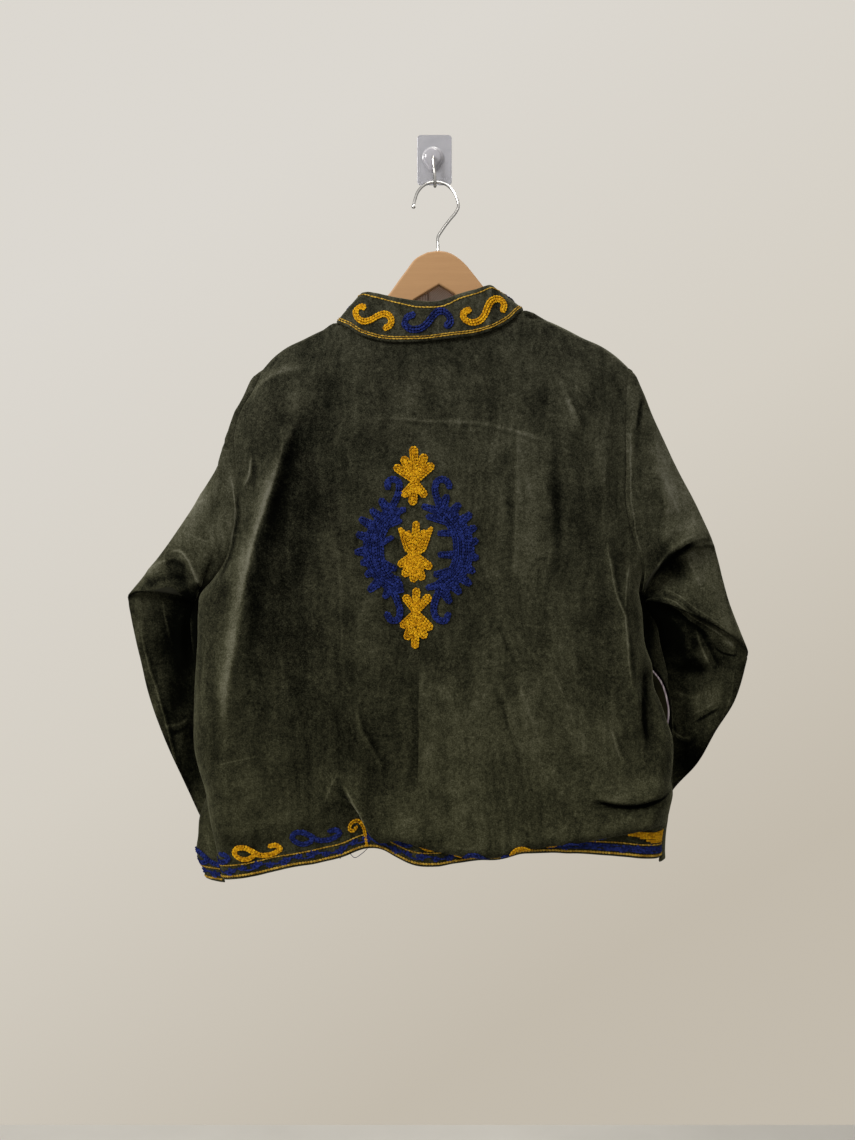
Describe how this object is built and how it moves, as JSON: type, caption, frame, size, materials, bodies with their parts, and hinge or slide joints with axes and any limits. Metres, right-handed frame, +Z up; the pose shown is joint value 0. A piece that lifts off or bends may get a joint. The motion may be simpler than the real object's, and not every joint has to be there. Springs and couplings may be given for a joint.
{
  "type": "suzani coat on a wooden hanger with a wall hook",
  "caption": "Short velvet coat with a stand collar, dropped shoulders and chain-stitch flowers, hung with its back outwards on a wooden hanger from a clear adhesive wall hook.",
  "frame": {"origin": "centre of the back face of the wall hook's plate, the face that sticks to the wall", "axes": "+Y into the wall, +Z up, +X to the right of someone who faces the wall; the coat's back faces -Y and its fronts face the wall"},
  "size_m": [0.725, 0.106, 0.8926],
  "materials": {
    "velvet": "dark olive cotton velvet",
    "lining": "striped lilac cotton lining",
    "wood": "light varnished wood",
    "chrome": "bright plated wire",
    "clear_plastic": "clear moulded plastic"
  },
  "bodies": {
    "root": {"back": "velvet", "front_left": "velvet", "front_right": "velvet", "sleeve_left": "velvet", "sleeve_right": "velvet", "collar": "velvet", "collar_lining": "lining", "pocket_bag": "lining", "hanger_wood": "wood", "hanger_hook": "chrome", "hook_plate": "clear_plastic", "hook_pin": "chrome"}
  },
  "joints": []
}
